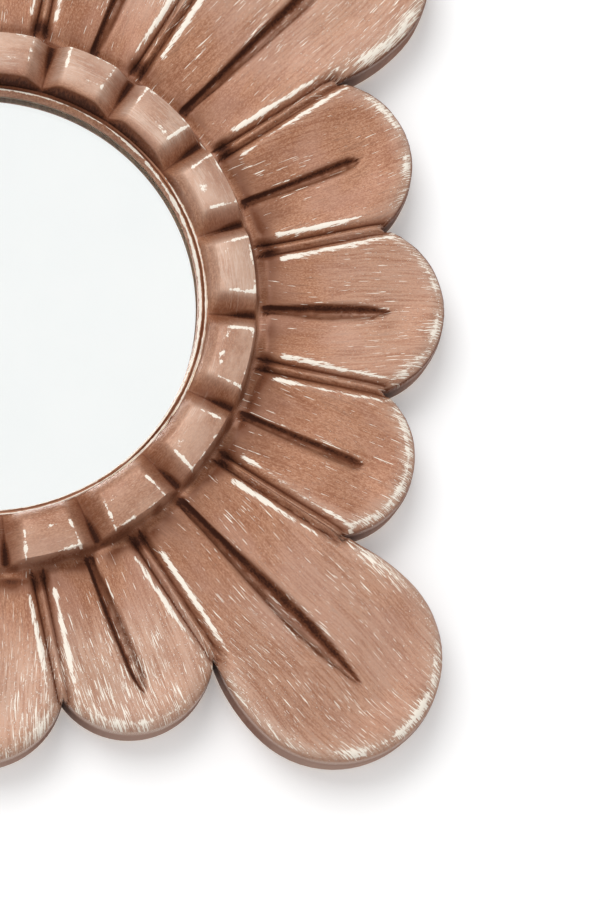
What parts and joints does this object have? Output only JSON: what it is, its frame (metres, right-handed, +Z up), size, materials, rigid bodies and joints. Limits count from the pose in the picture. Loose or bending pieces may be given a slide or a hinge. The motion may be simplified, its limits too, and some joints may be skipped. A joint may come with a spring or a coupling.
{
  "type": "wall mirror",
  "caption": "Small carved wooden wall mirror with rounded petals, longer at the corners, round a beaded ring and a round glass, and a hinged hanging ring in its back.",
  "frame": {"origin": "middle of the flat back, on the wall plane, straight behind the middle of the glass", "axes": "+Z up the wall, +Y into the wall, +X to the right of someone who looks into the mirror"},
  "size_m": [0.2172, 0.017, 0.2172],
  "materials": {
    "painted_wood": "worn rose-bronze paint with a dark glaze in the cuts, sanded through on the edges",
    "silvered_glass": "polished",
    "card": "raw",
    "hardboard": "pressed, smooth face out",
    "blued_steel": "blued",
    "zinc_steel": "zinc plated"
  },
  "bodies": {
    "frame": {"carved_frame": "painted_wood", "mirror_glass": "silvered_glass", "packing_card": "card", "backing_board": "hardboard", "board_tacks": "blued_steel", "hanger_strap": "zinc_steel", "hanger_screw": "zinc_steel"},
    "ring": {"hanger_ring": "zinc_steel"}
  },
  "joints": [
    {"name": "ring_swing", "type": "hinge", "parent": "frame", "child": "ring", "pos_m": [0, -0.00195, 0.0892], "axis": [1, 0, 0], "range_deg": [0, 180]}
  ]
}
